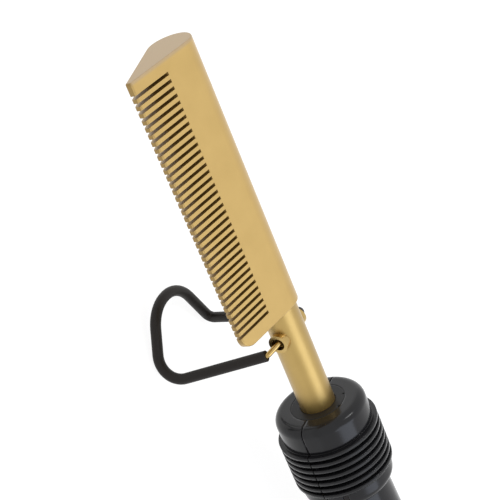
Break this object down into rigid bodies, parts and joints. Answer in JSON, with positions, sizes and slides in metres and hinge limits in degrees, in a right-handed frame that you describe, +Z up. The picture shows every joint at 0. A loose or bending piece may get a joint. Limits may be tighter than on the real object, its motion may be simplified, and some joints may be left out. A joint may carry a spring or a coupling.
{
  "type": "electric pressing comb",
  "caption": "Electric pressing comb: toothed metal head on a tube, ribbed two-shell handle, folding wire stand, slide switch, indicator window and swivelling cord inlet.",
  "frame": {"origin": "middle of the base of the bounding box, on the table that the comb stands on", "axes": "+X towards the tip of the comb, along its length, +Y towards the tips of the teeth, +Z up from the table"},
  "size_m": [0.303, 0.0522, 0.0829],
  "materials": {
    "gold_metal": "satin anodised",
    "brass_wire": "polished",
    "black_shell": "glossy moulded",
    "black_sleeve": "matt tube",
    "steel": "plain",
    "heater_case": "plain",
    "white_insulation": "matt",
    "lead_insulation": "matt",
    "smoked_lens": "clear dark red",
    "board_green": "matt",
    "black_component": "matt"
  },
  "bodies": {
    "comb": {"comb_head": "gold_metal", "heater_cartridge": "heater_case", "heater_end_bead": "white_insulation", "heater_leads": "lead_insulation", "lead_sleeve": "white_insulation", "shank_tube": "gold_metal", "shank_flange": "steel", "front_ring": "black_component", "pivot_boss_toothed_side": "brass_wire", "pivot_boss_spine_side": "brass_wire", "handle_shell_upper": "black_shell", "handle_shell_lower": "black_shell", "shell_screws": "steel", "indicator_lens": "smoked_lens", "indicator_lamp": "smoked_lens", "lamp_leads": "lead_insulation", "switch_body": "black_component", "switch_leads": "lead_insulation", "control_board": "board_green", "thermal_fuse": "heater_case", "power_diode": "black_component", "terminal_block": "white_insulation", "supply_leads": "lead_insulation", "swivel_contacts": "brass_wire"},
    "stand": {"bail_wire": "brass_wire", "bail_sleeve": "black_sleeve"},
    "switch_button": {"switch_slider": "black_shell"},
    "cord_swivel": {"swivel_gland": "black_shell"}
  },
  "joints": [
    {"name": "stand_swing", "type": "hinge", "parent": "comb", "child": "stand", "pos_m": [0.03213, -0.00343, 0.05043], "axis": [0, 1, 0], "range_deg": [-56, 68]},
    {"name": "switch_slide", "type": "slide", "parent": "comb", "child": "switch_button", "axis": [0.9796, 0, 0.2011], "range_m": [0, 0.008]},
    {"name": "cord_spin", "type": "hinge", "parent": "comb", "child": "cord_swivel", "pos_m": [-0.14377, -0.00343, 0.01431], "axis": [-0.9796, 0, -0.2011], "continuous": true}
  ]
}
